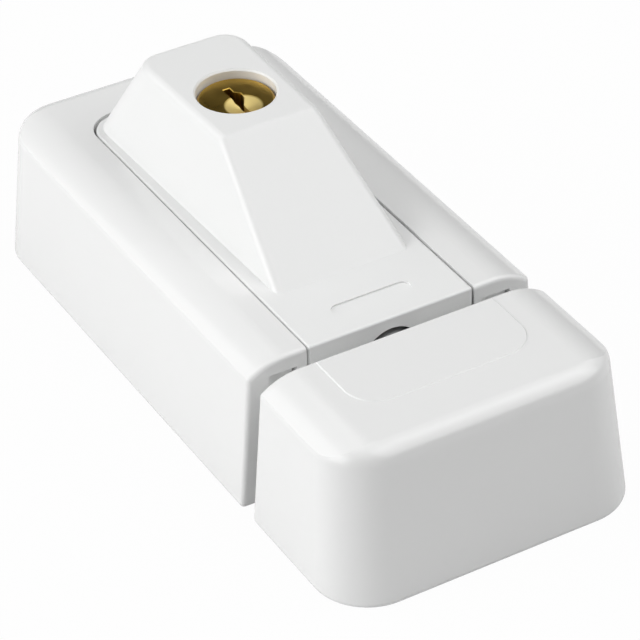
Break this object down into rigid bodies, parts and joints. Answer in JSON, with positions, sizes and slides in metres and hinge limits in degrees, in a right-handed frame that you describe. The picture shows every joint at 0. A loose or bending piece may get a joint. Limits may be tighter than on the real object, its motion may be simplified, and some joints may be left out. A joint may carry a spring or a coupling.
{
  "type": "window lock",
  "caption": "Surface mounted window lock: white case with a key cylinder in a wedge on top, a round sliding bolt, and a matching strike box for the frame.",
  "frame": {"origin": "centre of the bounding box of case and strike box together, on the mounting plane", "axes": "+X along the bolt, from the closed end of the case to the strike box; +Z away from the window"},
  "size_m": [0.1261, 0.0578, 0.0444],
  "materials": {
    "white_plastic": "glossy white moulding with a very fine grain",
    "white_paint": "glossy white lacquer on a zinc casting",
    "brass": "turned brass, dull",
    "steel": "plain ground steel",
    "die_cast": "bare grey casting"
  },
  "bodies": {
    "case": {"case_cover": "white_plastic", "lock_body": "white_paint", "base_plate": "steel", "base_plate_screws": "steel", "bearing_block": "die_cast", "cylinder_sleeve": "brass", "bolt_bush": "brass", "strike_cover": "white_plastic", "strike_keep": "die_cast"},
    "cylinder": {"cylinder_plug": "brass", "drive_pinion": "steel", "pinion_screw": "steel", "wafer_1": "brass", "wafer_2": "brass", "wafer_3": "brass", "wafer_4": "brass", "wafer_5": "brass", "wafer_spring_1": "steel", "wafer_spring_2": "steel", "wafer_spring_3": "steel", "wafer_spring_4": "steel", "wafer_spring_5": "steel"},
    "bolt": {"locking_bolt": "steel", "bolt_rack": "steel", "rack_pin": "steel"}
  },
  "joints": [
    {"name": "cylinder_turn", "type": "hinge", "parent": "case", "child": "cylinder", "pos_m": [-0.02115, 0, 0.03], "axis": [0, 0, 1], "range_deg": [0, 180]},
    {"name": "bolt_slide", "type": "slide", "parent": "case", "child": "bolt", "axis": [-1, 0, 0], "range_m": [0, 0.01571]}
  ],
  "couplings": [
    {"joint": "cylinder_turn", "follows": "bolt_slide", "rad_per_m": 200}
  ]
}
